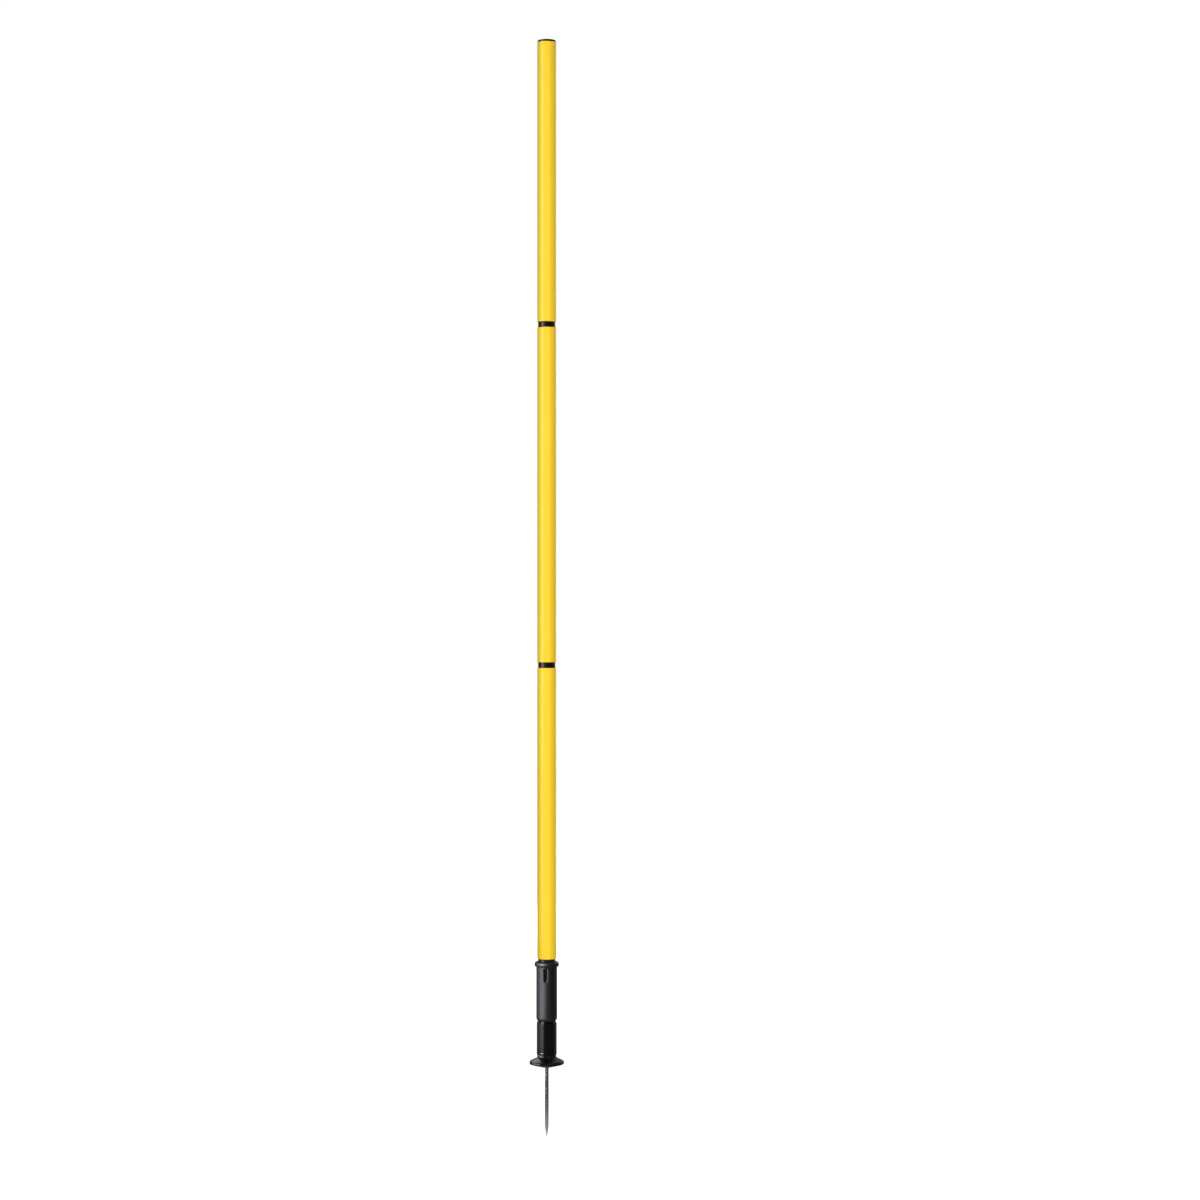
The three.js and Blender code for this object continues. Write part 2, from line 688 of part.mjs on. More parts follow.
const lowerSection = new THREE.Group();
lowerSection.position.z = lowerTubeBottom;
lowerSection.add(
  at(mesh('foot_ferrule', ferrule(), fittingBlack), ferruleBottom - lowerTubeBottom),
  mesh('lower_tube', tube(LOWER_TUBE_LENGTH), tubeYellow),
  at(mesh('lower_connector', connector(), fittingBlack), LOWER_TUBE_LENGTH + SEAT_GAP),
  middleSection,
);

const socket = new THREE.Group();
const upperPlugMesh = at(mesh('upper_spring_plug', upperPlug, fittingBlack), upperPlugSeat);
upperPlugMesh.rotation.x = Math.PI;
const screwWasher = washer(SCREW_WASHER_DIAMETER, screwHoleRadius, SCREW_WASHER_THICKNESS);
socket.add(
  upperPlugMesh,
  mesh('socket_sleeve', sleeve(), sleeveBlack),
  at(mesh('socket_washer', screwWasher, steel), screwWasherSeat),
  at(mesh('socket_screw', screw(), steel), screwHeadSeat),
  lowerSection,
);

const flex = new THREE.Group();
flex.add(
  mesh('return_spring', wire(coil, wireRadius), steel),
  at(mesh('boot', boot(), bootBlack), bootBottom),
);

const base = new THREE.Group();
const footPin = at(mesh('foot_pin', pin(), steel), pinHeight);
footPin.rotation.y = Math.PI / 2;
const spikeWasher = washer(SPIKE_WASHER_DIAMETER, spikeHoleRadius, SPIKE_WASHER_THICKNESS);
base.add(
  mesh('spike', spike(), steel),
  at(mesh('spike_washer', spikeWasher, steel), spikeWasherSeat),
  mesh('foot_flange', foot(), footBlack),
  at(mesh('lower_spring_plug', lowerPlug, fittingBlack), lowerPlugSeat),
  footPin,
);

const pole = new THREE.Group();
pole.add(base, flex, socket);

export default pole;
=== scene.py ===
# The looks of the slalom pole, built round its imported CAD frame. Lengths are in metres.
import json
import math

import bpy
import numpy as np
from mathutils import Euler, Matrix, Vector


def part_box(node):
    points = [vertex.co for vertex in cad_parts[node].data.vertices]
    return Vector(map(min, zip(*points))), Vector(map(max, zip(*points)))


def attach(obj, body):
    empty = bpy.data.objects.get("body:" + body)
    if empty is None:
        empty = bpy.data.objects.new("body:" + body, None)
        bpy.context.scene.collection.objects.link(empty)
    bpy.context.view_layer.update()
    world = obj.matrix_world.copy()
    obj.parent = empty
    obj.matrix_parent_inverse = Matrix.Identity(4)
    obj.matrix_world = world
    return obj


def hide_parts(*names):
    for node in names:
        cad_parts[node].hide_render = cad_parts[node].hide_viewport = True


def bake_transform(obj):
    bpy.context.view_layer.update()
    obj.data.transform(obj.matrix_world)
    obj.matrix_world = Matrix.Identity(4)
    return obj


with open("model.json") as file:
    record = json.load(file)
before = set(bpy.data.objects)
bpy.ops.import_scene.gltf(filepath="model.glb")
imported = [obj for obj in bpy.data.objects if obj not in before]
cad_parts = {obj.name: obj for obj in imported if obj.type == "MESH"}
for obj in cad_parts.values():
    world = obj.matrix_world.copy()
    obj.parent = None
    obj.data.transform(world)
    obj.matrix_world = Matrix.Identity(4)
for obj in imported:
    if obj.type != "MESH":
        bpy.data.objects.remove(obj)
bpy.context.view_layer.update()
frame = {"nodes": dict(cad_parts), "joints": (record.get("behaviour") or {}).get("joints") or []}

MM = 0.001

# Finish of the round forms
SIDES = 96  # round the pole
SMALL_SIDES = 48  # round the small fittings
WIRE_SIDES = 12
FILLET_STEPS = 5
FILLET_REACH_SHARE = 0.49  # of an edge that one fillet may take up
CURVE_STEPS = 8
SMOOTH_ANGLE = math.radians(32)
AXIS_RADIUS = 1e-7  # a smaller ring is one point on the axis
TUBE_RING_SPACING = 40 * MM
BOOT_RING_SPACING = 1.2 * MM  # close rings along the boot's length
CUT_OVERRUN = 2 * MM  # how far a cutter runs past the face that it opens

# Fits that several pieces share, as in the CAD
SEAT_GAP = 0.1 * MM
SLIDE_GAP = 0.3 * MM
TUBE_RADIUS = 15 * MM
TUBE_BORE = 12.8 * MM
BAND_RADIUS = 13.75 * MM
PLUG_RADIUS = 12.5 * MM
PLUG_BORE = 9.9 * MM
SOCKET_BORE = 14.05 * MM
SLEEVE_RADIUS = 16.65 * MM
BOOT_SEAT_RADIUS = 13.6 * MM
BOOT_SEAT_FILLET = 0.5 * MM
PLUG_SOCKET_BORE = 10.3 * MM
EDGE_FILLET = 0.3 * MM

# Ends that are pushed into something
LEAD_IN_DEPTH = 0.3 * MM
LEAD_IN_LENGTH = 1.6 * MM
LEAD_IN_FILLET = 1 * MM

# Tubes, and where the photograph puts their two end fittings, set off from the CAD's
TUBE_INNER_FILLET = 0.5 * MM
TUBE_OUTER_FILLET = 0.55 * MM
CAP_DROP = 0.6 * MM
FERRULE_RISE = 1.2 * MM

# Connectors
BAND_HEIGHT = 8.7 * MM
BAND_FILLET = 0.35 * MM
RIB_COUNT = 4
RIB_HALF_WIDTH = 0.9 * MM
RIB_ROOT = 0.4 * MM  # sunk into the wall
RIB_HEIGHT = 0.2 * MM
RIB_INSET = 1.2 * MM  # from each end of the stretch that it stands on
SLIT_CUTS = 2  # each cut slits both sides
SLIT_HALF_WIDTH = 1.1 * MM
SLIT_LENGTH = 26 * MM

# Cap
CAP_INSET = 0.4 * MM
CAP_SIDE_HEIGHT = 1.5 * MM
CAP_TURN_DROP = 0.35 * MM  # below the crown, where the side turns in
CAP_SHOULDER_DROP = 0.25 * MM
CAP_SHOULDER_WIDTH = 2.2 * MM
CAP_CROWN_SHARE = 0.5  # of the cap's radius, where the crown levels out

# Ferrule
FERRULE_WALL = 2.6 * MM
FERRULE_LEAD_IN_DEPTH = 0.4 * MM
LUG_RADIUS = 1.6 * MM
LUG_HEIGHT = 1.2 * MM
LUG_CROWN_HEIGHT = 0.6 * MM
LUG_ROOT = 0.5 * MM  # from the bore to where the lug starts inside the wall

# Socket sleeve
BOOT_OVERLAP = 7 * MM  # how far the boot covers the sleeve
LIP_OVERHANG = 2.95 * MM
LIP_REACH = 8.2 * MM  # from its top down to where it leaves the wall
LIP_FOOT_FILLET = 0.4 * MM
LIP_ROWS = (  # inset from the lip's radius, drop from its top and fillet, in mm
    (0.45, 7.4, 0.8),
    (0.1, 5.6, 2.4),
    (0, 3.9, 2.4),
    (0.6, 1.7, 1.6),
)
LIP_FLAT_WIDTH = 1 * MM
LIP_CROWN_WIDTH = 0.9 * MM
LIP_CROWN_FILLET = 1.6 * MM
BEAD_RADIUS = 4.7 * MM  # of the CAD's lip, from which the slot is placed
MOUTH_CHAMFER = 1.2 * MM
MOUTH_FILLET = 0.4 * MM
FLOOR_FILLET = 0.8 * MM
FLOOR_THICKNESS = 4 * MM
SCREW_HOLE_RADIUS = 2.8 * MM
GROOVE_ROWS = (  # inset from the sleeve's radius, rise from its shoulder and fillet, in mm
    (2.3, 0, 0.1),
    (0.2, 3.1, 0.6),
    (0, 4.4, 0.6),
)
SLOT_BELOW_LIP = 2.8 * MM
SLOT_LENGTH = 18.4 * MM
SLOT_HALF = 2.2 * MM
SLOT_END_STEPS = 14
SCOOP_DEPTH = 1.75 * MM  # inside the sleeve's surface, where the slot starts to flare
SCOOP_EDGE_RADIUS = 0.35 * MM
SCOOP_EDGE_STEPS = 4
SCOOP_EDGE_TURN = math.pi / 4
SCOOP_OVERRUN = 0.4 * MM
SCOOP_GROWTH = 3.1 * MM  # how much wider the cutter is where it ends
KEYWAY_DEPTH = 1.45 * MM

# Boot
BOOT_WALL = 2.3 * MM
BOOT_INSET = 0.12 * MM  # of its wall, inside the CAD's
HEM_SWELL = 0.05 * MM
HEM_FILLET = 0.9 * MM
HEM_HEIGHT = 2.4 * MM
HEM_END_HEIGHT = 3 * MM
HEM_END_FILLET = 0.5 * MM
BOOT_SLOPE_HEIGHT = 3.6 * MM
BOOT_SLOPE_WIDTH = 1.7 * MM
BOOT_SLOPE_FILLET = 0.8 * MM
BOOT_TOP_FILLET = 0.1 * MM

# Spring and its plugs
PLUG_SHANK_LENGTH = 10 * MM
PLUG_FLANGE_THICKNESS = 5 * MM
WIRE_RADIUS = 1.5 * MM
SPRING_TO_BOOT = 2.2 * MM
SPRING_TURNS = 7
STEPS_PER_TURN = 36
COIL_SEAT_GAP = 0.4 * MM
TAIL_BEND_RADIUS = 2.2 * MM
TAIL_BEND_STEPS = 8
TAIL_LENGTH = 3 * MM
TAPER_LENGTH = 5 * MM
TAPER_WIDTH = 4.6 * MM
TAPER_OVERRUN = 1 * MM

# Foot
FOOT_FLAT_RADIUS = 7 * MM
FOOT_FLAT_FILLET = 2 * MM
FOOT_CONE_HEIGHT = 6.3 * MM
FOOT_CONE_SHARES = (0.88, 0.76)  # outward and upward, where the underside's cone ends
FOOT_TURN_SHARE = 0.87  # upward, where the underside turns into the rim
FOOT_RIM_THICKNESS = 2.9 * MM
FOOT_SLOPE_HEIGHT = 8.6 * MM
RIM_TOP_SHARES = (0.2, 0.23)  # inward and upward, where the rim's rounding ends
NECK_FOOT_SHARES = (0.88, 0.71)  # inward and upward, where the neck's fillet starts
NECK_FILLET_SHARE = 0.79  # upward, where the fillet turns into the neck
NECK_INSET = 1.1 * MM
NECK_HEIGHT = 3.2 * MM
NECK_EDGE_FILLET = 0.2 * MM
HEAD_POCKET_RADIUS = 9.3 * MM
SPIKE_HOLE_RADIUS = 3.3 * MM
PIN_HOLE_RADIUS = 1.8 * MM

# Spike
SPIKE_RADIUS = 3 * MM
SPIKE_POINT_LENGTH = 17 * MM
SPIKE_POINT_FILLET = 3 * MM
SPIKE_TIP_TURN = 0.35 * MM  # outward, where the blunt tip turns up
SPIKE_TIP_RADIUS = 0.42 * MM
SPIKE_TIP_HEIGHT = 0.45 * MM
SPIKE_TIP_STEPS = 4
SPIKE_HEAD_RADIUS = 6.5 * MM
SPIKE_HEAD_HEIGHT = 5 * MM
SPIKE_HEAD_FILLET = 0.6 * MM

# The photograph's view
CAMERA_AWAY = 4.285
CAMERA_RIGHT = 0.0845
CAMERA_HEIGHT = 0.7415
CAMERA_REACH = 100
STUDIO_TURN = math.radians(5)  # the camera stands this far round the pole from the slot's side
LENS_MM = 81
SENSOR_MM = 36

# Stage and light
FLOOR_HALF = 30
FLOOR_GLOW = 0.86  # close to the pole
FLOOR_FAR_GLOW = 0.985
AMBIENT = 0.1
MIRROR_DARK = 0.03  # what reflections see in front of the pole
MIRROR_BRIGHT = 0.32  # what they see behind it
WHITE = (1, 1, 1)
WARM = (1, 0.91, 0.82)
COOL = (0.84, 0.91, 1)
POLE_MIDDLE = (0, 0, 0.86)
BASE_MIDDLE = (0, 0, 0.1)
FOOT_MIDDLE = (0, 0, 0.02)
FOOT_BOTTOM = (0, 0, 0.002)
SOFTBOX_LEVEL = 0.95
SOFTBOX_HEIGHT = 3.2
STRIP_DISTANCE = 0.6
STRIP_LEVEL = 0.14
STRIP_HEIGHT = 0.46

# How the grain of the steels is stretched
TURNED = (0.02, 0.02, 1)
DRAWN = (1, 1, 1)


def make_object(name, vertices, faces):
    mesh = bpy.data.meshes.new(name)
    mesh.from_pydata([tuple(v) for v in vertices], [], [tuple(f) for f in faces])
    mesh.validate()
    piece = bpy.data.objects.new(name, mesh)
    bpy.context.scene.collection.objects.link(piece)
    return piece


def rounded(points, closed=True):
    """Rounds the corners of a profile. A point is (radius, height) or (radius, height, fillet)."""
    out = []
    count = len(points)
    for i, point in enumerate(points):
        here = np.array(point[:2], float)
        fillet = point[2] if len(point) > 2 else 0
        if fillet == 0 or (not closed and i in (0, count - 1)):
            out.append(here)
            continue
        before = np.array(points[i - 1][:2], float) - here
        after = np.array(points[(i + 1) % count][:2], float) - here
        reach_before = np.linalg.norm(before)
        reach_after = np.linalg.norm(after)
        before /= reach_before
        after /= reach_after
        half = math.acos(np.clip(before @ after, -1, 1)) / 2
        most = FILLET_REACH_SHARE * min(reach_before, reach_after)
        cut = min(fillet / math.tan(half), most)
        radius = cut * math.tan(half)
        middle = before + after
        middle /= np.linalg.norm(middle)
        centre = here + middle * (radius / math.sin(half))
        first = here + before * cut - centre
        last = here + after * cut - centre
        start = math.atan2(first[1], first[0])
        sweep = math.atan2(last[1], last[0]) - start
        sweep = (sweep + math.pi) % (2 * math.pi) - math.pi
        for step in range(FILLET_STEPS + 1):
            turn = start + sweep * step / FILLET_STEPS
            out.append(centre + radius * np.array([math.cos(turn), math.sin(turn)]))
    return out


def curve(start, control, end, steps=CURVE_STEPS):
    """The points of a quadratic curve after its start, up to and with its end."""
    points = []
    for step in range(1, steps + 1):
        t = step / steps
        points.append(tuple(
            (1 - t) ** 2 * s + 2 * t * (1 - t) * c + t ** 2 * e
            for s, c, e in zip(start, control, end)
        ))
    return points


def lead_in(radius, end, upward, depth=LEAD_IN_DEPTH):
    """The two corners of an end that is pushed into something, from the bottom up."""
    tip = (radius - depth, end, LEAD_IN_FILLET)
    full = (radius, end + upward * LEAD_IN_LENGTH, LEAD_IN_FILLET)
    return [tip, full] if upward > 0 else [full, tip]


def lathe(name, profile, sides=SIDES, closed=True, longest=None):
    """Turns a profile about the pole's axis. An open profile starts and ends on the axis."""
    points = [np.array(p, float) for p in profile]
    if longest:
        dense = []
        edge_count = len(points) if closed else len(points) - 1
        for i in range(edge_count):
            a, b = points[i], points[(i + 1) % len(points)]
            parts = max(1, math.ceil(np.linalg.norm(b - a) / longest))
            dense += [a + (b - a) * k / parts for k in range(parts)]
        if not closed:
            dense.append(points[-1])
        points = dense
    vertices, faces, rings = [], [], []
    for radius, height in points:
        if radius < AXIS_RADIUS:
            rings.append([len(vertices)])
            vertices.append((0, 0, height))
            continue
        rings.append(list(range(len(vertices), len(vertices) + sides)))
        for k in range(sides):
            turn = 2 * math.pi * (k + 0.5) / sides
            vertices.append((radius * math.cos(turn), radius * math.sin(turn), height))
    pairs = list(zip(rings, rings[1:]))
    if closed:
        pairs.append((rings[-1], rings[0]))
    for low, high in pairs:
        for k in range(sides):
            n = (k + 1) % sides
            if len(low) == 1:
                faces.append((low[0], high[n], high[k]))
            elif len(high) == 1:
                faces.append((low[k], low[n], high[0]))
            else:
                faces.append((low[k], low[n], high[n], high[k]))
    piece = make_object(name, vertices, faces)
    mesh = piece.data
    volume = 0.0
    for polygon in mesh.polygons:
        corners = [mesh.vertices[v].co for v in polygon.vertices]
        for a, b in zip(corners[1:], corners[2:]):
            volume += corners[0].dot(a.cross(b))
    if volume < 0:
        mesh.flip_normals()
    return piece


def ring_faces(ring_count, sides):
    """The faces of a tube made of rings of points: its walls and its two ends."""
    faces = []
    last = (ring_count - 1) * sides
    for start in range(0, last, sides):
        for k in range(sides):
            n = (k + 1) % sides
            faces.append((start + k, start + n, start + sides + n, start + sides + k))
    faces.append(tuple(range(sides - 1, -1, -1)))
    faces.append(tuple(range(last, last + sides)))
    return faces


def box_piece(low, high):
    """A closed box between two corners, used as a cutter or joined to another piece."""
    x0, y0, z0 = low
    x1, y1, z1 = high
    vertices = [(x, y, z) for x in (x0, x1) for y in (y0, y1) for z in (z0, z1)]
    faces = [(0, 1, 3, 2), (4, 6, 7, 5), (0, 4, 5, 1), (2, 3, 7, 6), (0, 2, 6, 4), (1, 5, 7, 3)]
    return make_object("cutter", vertices, faces)


def turn_mesh(piece, angle, axis="Z"):
    piece.data.transform(Euler([angle if a == axis else 0 for a in "XYZ"]).to_matrix().to_4x4())
    return piece


def raise_mesh(piece, height):
    piece.data.transform(Matrix.Translation((0, 0, height)))


def combine(piece, other, operation):
    """Joins another solid to the piece or cuts it out, and deletes the other."""
    modifier = piece.modifiers.new("combine", "BOOLEAN")
    modifier.operation = operation
    modifier.solver = "EXACT"
    modifier.object = other
    graph = bpy.context.evaluated_depsgraph_get()
    graph.update()
    result = bpy.data.meshes.new_from_object(piece.evaluated_get(graph))
    piece.modifiers.clear()
    old = piece.data
    piece.data = result
    name = old.name
    bpy.data.meshes.remove(old)
    piece.data.name = name
    bpy.data.objects.remove(other)


def rib_ring(piece, radius, low, high, first_turn):
    """Grip ribs round a stretch of the piece's wall."""
    for k in range(RIB_COUNT):
        rib = box_piece(
            (radius - RIB_ROOT, -RIB_HALF_WIDTH, low + RIB_INSET),
            (radius + RIB_HEIGHT, RIB_HALF_WIDTH, high - RIB_INSET),
        )
        combine(piece, turn_mesh(rib, first_turn + 2 * math.pi * k / RIB_COUNT), "UNION")


class Nodes:
    """Short calls for building the node tree of a material or of the world."""

    def __init__(self, owner, coordinates="Object"):
        owner.use_nodes = True
        self.owner = owner
        self.tree = owner.node_tree
        self.place = self.add("ShaderNodeTexCoord").outputs[coordinates]

    def add(self, kind, **values):
        node = self.tree.nodes.new(kind)
        for key, value in values.items():
            setattr(node, key, value)
        return node

    def put(self, socket, value):
        """Links an input to another node's output, or sets it."""
        if isinstance(value, bpy.types.NodeSocket):
            self.tree.links.new(value, socket)
        elif socket.type == "RGBA":
            socket.default_value = (*value, 1)
        else:
            socket.default_value = value

    def noise(self, scale, detail=2.0, rough=0.5, stretch=(1, 1, 1)):
        mapping = self.add("ShaderNodeMapping")
        self.put(mapping.inputs["Scale"], stretch)
        self.put(mapping.inputs["Vector"], self.place)
        node = self.add("ShaderNodeTexNoise")
        self.put(node.inputs["Scale"], scale)
        self.put(node.inputs["Detail"], detail)
        self.put(node.inputs["Roughness"], rough)
        self.put(node.inputs["Vector"], mapping.outputs["Vector"])
        return node.outputs["Fac"]

    def ranged(self, source, start=0.0, end=1.0, low=0.0, high=1.0, smooth=False):
        """Maps start to low and end to high."""
        node = self.add("ShaderNodeMapRange", interpolation_type="SMOOTHSTEP" if smooth else "LINEAR")
        for name, value in zip(("From Min", "From Max", "To Min", "To Max"), (start, end, low, high)):
            self.put(node.inputs[name], value)
        self.put(node.inputs["Value"], source)
        return node.outputs["Result"]

    def mixed(self, factor, first, second):
        """Mixes two colours, which are inputs 6 and 7 of the node. The result is output 2."""
        node = self.add("ShaderNodeMix", data_type="RGBA")
        for index, value in ((0, factor), (6, first), (7, second)):
            self.put(node.inputs[index], value)
        return node.outputs[2]

    def mixed_value(self, factor, first, second):
        """Mixes two values, which are inputs 2 and 3 of the node. The result is output 0."""
        node = self.add("ShaderNodeMix", data_type="FLOAT")
        for index, value in ((0, factor), (2, first), (3, second)):
            self.put(node.inputs[index], value)
        return node.outputs[0]

    def math(self, operation, first, second=0.0):
        node = self.add("ShaderNodeMath", operation=operation)
        self.put(node.inputs[0], first)
        self.put(node.inputs[1], second)
        return node.outputs["Value"]

    def vector_math(self, operation, first, second=(0, 0, 0)):
        node = self.add("ShaderNodeVectorMath", operation=operation)
        self.put(node.inputs[0], first)
        self.put(node.inputs[1], second)
        return node.outputs["Value" if operation == "LENGTH" else "Vector"]

    def along(self, vector, axis):
        node = self.add("ShaderNodeSeparateXYZ")
        self.put(node.inputs["Vector"], vector)
        return node.outputs[axis]

    def bump(self, height, distance, strength, under=None):
        node = self.add("ShaderNodeBump")
        self.put(node.inputs["Distance"], distance)
        self.put(node.inputs["Strength"], strength)
        self.put(node.inputs["Height"], height)
        if under:
            self.put(node.inputs["Normal"], under)
        return node.outputs["Normal"]

    def scuffs(self, scale, start):
        """Sparse fine scuffs: stretched noise, thresholded."""
        source = self.noise(scale, detail=3, rough=0.6, stretch=(1, 1, 0.35))
        return self.ranged(source, start=start, end=0.8)

    def rays(self):
        """Which rays see the surface: those that show it itself, and those that reflect it."""
        path = self.add("ShaderNodeLightPath").outputs
        seen = self.math("MAXIMUM", path["Is Camera Ray"], path["Is Transmission Ray"])
        return seen, path["Is Glossy Ray"]

    def finish(self, **values):
        """Sets the shader's inputs by their names, and gives the material."""
        shader = self.tree.nodes["Principled BSDF"]
        for name, value in values.items():
            self.put(shader.inputs[name.replace("_", " ")], value)
        return self.owner


def linear(red, green, blue):
    """An sRGB colour, 0 to 255, as the linear colour that the shaders take."""
    return tuple(
        c / 255 / 12.92 if c <= 10 else ((c / 255 + 0.055) / 1.055) ** 2.4
        for c in (red, green, blue)
    )


def tube_material():
    """Satin plastic with fine streaks along the tube and a few scuffs."""
    n = Nodes(bpy.data.materials.new("tube_yellow"))
    broad = n.noise(scale=14, detail=3, stretch=(1, 1, 0.25))
    streaks = n.noise(scale=900, stretch=(1, 1, 0.012))
    scuffs = n.scuffs(scale=420, start=0.68)
    scuff_tint = n.math("MULTIPLY", scuffs, 0.25)
    scuff_rough = n.math("MULTIPLY", scuffs, 0.12)
    color = n.mixed(n.ranged(broad, start=0.3, end=0.7), linear(245, 210, 45), linear(248, 215, 53))
    color = n.mixed(scuff_tint, color, linear(233, 200, 70))
    rough = n.math("ADD", n.ranged(streaks, low=0.3, high=0.38), scuff_rough)
    normal = n.bump(streaks, distance=0.02 * MM, strength=0.5)
    normal = n.bump(n.noise(scale=2600), distance=0.004 * MM, strength=0.4, under=normal)
    return n.finish(Base_Color=color, Roughness=rough, Normal=normal, Specular_IOR_Level=0.5)


def black_plastic(name, color, rough, grain, grain_depth, specular):
    """Moulded dark plastic: fine grain, faint flow marks and paler scuffs."""
    n = Nodes(bpy.data.materials.new(name))
    flow = n.noise(scale=60, detail=3, rough=0.55, stretch=(1, 1, 0.5))
    scuffs = n.scuffs(scale=700, start=0.66)
    scuff_tint = n.math("MULTIPLY", scuffs, 0.3)
    scuff_rough = n.math("MULTIPLY", scuffs, 0.08)
    paler = tuple(c * 1.22 + 0.0006 for c in color)
    scuffed = tuple(c * 2.2 + 0.006 for c in color)
    tint = n.mixed(n.ranged(flow, start=0.3, end=0.7), color, paler)
    tint = n.mixed(scuff_tint, tint, scuffed)
    spread = n.noise(scale=240, detail=3, rough=0.6)
    spread = n.ranged(spread, start=0.25, end=0.75, low=rough - 0.05, high=rough + 0.05)
    spread = n.math("ADD", spread, scuff_rough)
    normal = n.bump(n.noise(grain, detail=3, rough=0.6), distance=grain_depth, strength=0.6)
    return n.finish(Base_Color=tint, Roughness=spread, Normal=normal, Specular_IOR_Level=specular)


def steel_material(name, rough, stretch):
    """Steel with fine rings from turning, or plain grain, and a few darker specks."""
    n = Nodes(bpy.data.materials.new(name))
    grain = n.noise(scale=5200, rough=0.6, stretch=stretch)
    tone = n.noise(scale=90, detail=3, rough=0.6, stretch=(1, 1, 0.4))
    specks = n.ranged(n.noise(scale=1500), start=0.68, end=0.8, high=0.25)
    color = n.mixed(n.ranged(tone, start=0.25, end=0.75), (0.6, 0.61, 0.63), (0.76, 0.77, 0.78))
    color = n.mixed(specks, color, (0.2, 0.18, 0.16))
    spread = n.ranged(grain, start=0.3, end=0.7, low=rough - 0.06, high=rough + 0.08)
    normal = n.bump(grain, distance=0.006 * MM, strength=0.4)
    return n.finish(Base_Color=color, Roughness=spread, Normal=normal, Metallic=1.0)


yellow = tube_material()
fitting = black_plastic(
    "fitting_black", linear(10, 9, 6), rough=0.34, grain=1800, grain_depth=0.01 * MM, specular=0.7,
)
sleeve_black = black_plastic(
    "sleeve_black", linear(6, 9, 12), rough=0.47, grain=2200, grain_depth=0.006 * MM, specular=0.76,
)
boot_black = black_plastic(
    "boot_black", linear(1, 3, 5), rough=0.2, grain=900, grain_depth=0.002 * MM, specular=0.6,
)
foot_black = black_plastic(
    "foot_black", linear(6, 9, 11), rough=0.28, grain=1800, grain_depth=0.008 * MM, specular=0.7,
)
bright_steel = steel_material("spike_steel", rough=0.2, stretch=TURNED)
wire_steel = steel_material("wire_steel", rough=0.3, stretch=DRAWN)
fastener_steel = steel_material("fastener_steel", rough=0.3, stretch=TURNED)


def dress(piece, material, slot, body=None, *replaced):
    """The last calls on a piece: its material, body and the nodes it stands for. The slot is not used.
    """
    piece.data.materials.clear()
    piece.data.materials.append(material)
    piece.data.shade_smooth()
    piece.data.set_sharp_from_angle(angle=SMOOTH_ANGLE)
    if body:
        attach(piece, body)
    if replaced:
        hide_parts(*replaced)
    return piece


def tube_piece(node, body, low_cut=0, high_cut=0):
    low, high = (corner.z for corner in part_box(node))
    low += low_cut
    high -= high_cut
    profile = rounded([
        (TUBE_BORE, low, TUBE_INNER_FILLET),
        (TUBE_RADIUS, low, TUBE_OUTER_FILLET),
        (TUBE_RADIUS, high, TUBE_OUTER_FILLET),
        (TUBE_BORE, high, TUBE_INNER_FILLET),
    ])
    piece = lathe(node + "_skin", profile, longest=TUBE_RING_SPACING)
    dress(piece, yellow, "tube_yellow", body, node)


tube_piece("lower_tube", "lower_section", low_cut=FERRULE_RISE)
tube_piece("middle_tube", "middle_section")
tube_piece("top_tube", "top_section", high_cut=CAP_DROP)


def connector_piece(node, body, band_low):
    """A glued root, the band that shows with its two shoulders, and the slit, ribbed spigot."""
    low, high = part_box(node)
    band_high = band_low + BAND_HEIGHT
    profile = rounded([
        (PLUG_BORE, low.z),
        *lead_in(PLUG_RADIUS, low.z, 1),
        (PLUG_RADIUS, band_low),
        (BAND_RADIUS, band_low, BAND_FILLET),
        (BAND_RADIUS, band_high, BAND_FILLET),
        (PLUG_RADIUS, band_high),
        *lead_in(PLUG_RADIUS, high.z, -1),
        (PLUG_BORE, high.z),
    ])
    piece = lathe(node + "_skin", profile)
    rib_ring(piece, PLUG_RADIUS, band_high, high.z, 0)
    for k in range(SLIT_CUTS):
        slit = box_piece(
            (-TUBE_RADIUS, -SLIT_HALF_WIDTH, high.z - SLIT_LENGTH),
            (TUBE_RADIUS, SLIT_HALF_WIDTH, high.z + CUT_OVERRUN),
        )
        turn = math.pi / RIB_COUNT + math.pi * k / SLIT_CUTS
        combine(piece, turn_mesh(slit, turn), "DIFFERENCE")
    dress(piece, fitting, "fitting_black", body, node)


connector_piece("lower_connector", "lower_section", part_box("lower_tube")[1].z + SEAT_GAP)
connector_piece("upper_connector", "middle_section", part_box("middle_tube")[1].z + SEAT_GAP)


def cap_piece():
    low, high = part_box("top_cap")
    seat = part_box("top_tube")[1].z - CAP_DROP + SEAT_GAP
    edge = TUBE_RADIUS - CAP_INSET
    side_top = (edge, seat + CAP_DROP + CAP_SIDE_HEIGHT)
    shoulder = (edge - CAP_SHOULDER_WIDTH, high.z - CAP_SHOULDER_DROP)
    profile = rounded([
        (0, seat),
        (PLUG_BORE, seat),
        (PLUG_BORE, low.z, EDGE_FILLET),
        *lead_in(PLUG_RADIUS, low.z, 1),
        (PLUG_RADIUS, seat),
        (edge, seat, EDGE_FILLET),
        side_top,
    ], closed=False)
    profile += curve(side_top, (edge, high.z - CAP_TURN_DROP), shoulder)
    profile += curve(shoulder, (edge * CAP_CROWN_SHARE, high.z), (0, high.z))
    piece = lathe("top_cap_skin", profile, closed=False)
    rib_ring(piece, PLUG_RADIUS, low.z, seat, 0)
    dress(piece, fitting, "fitting_black", "top_section", "top_cap")


cap_piece()

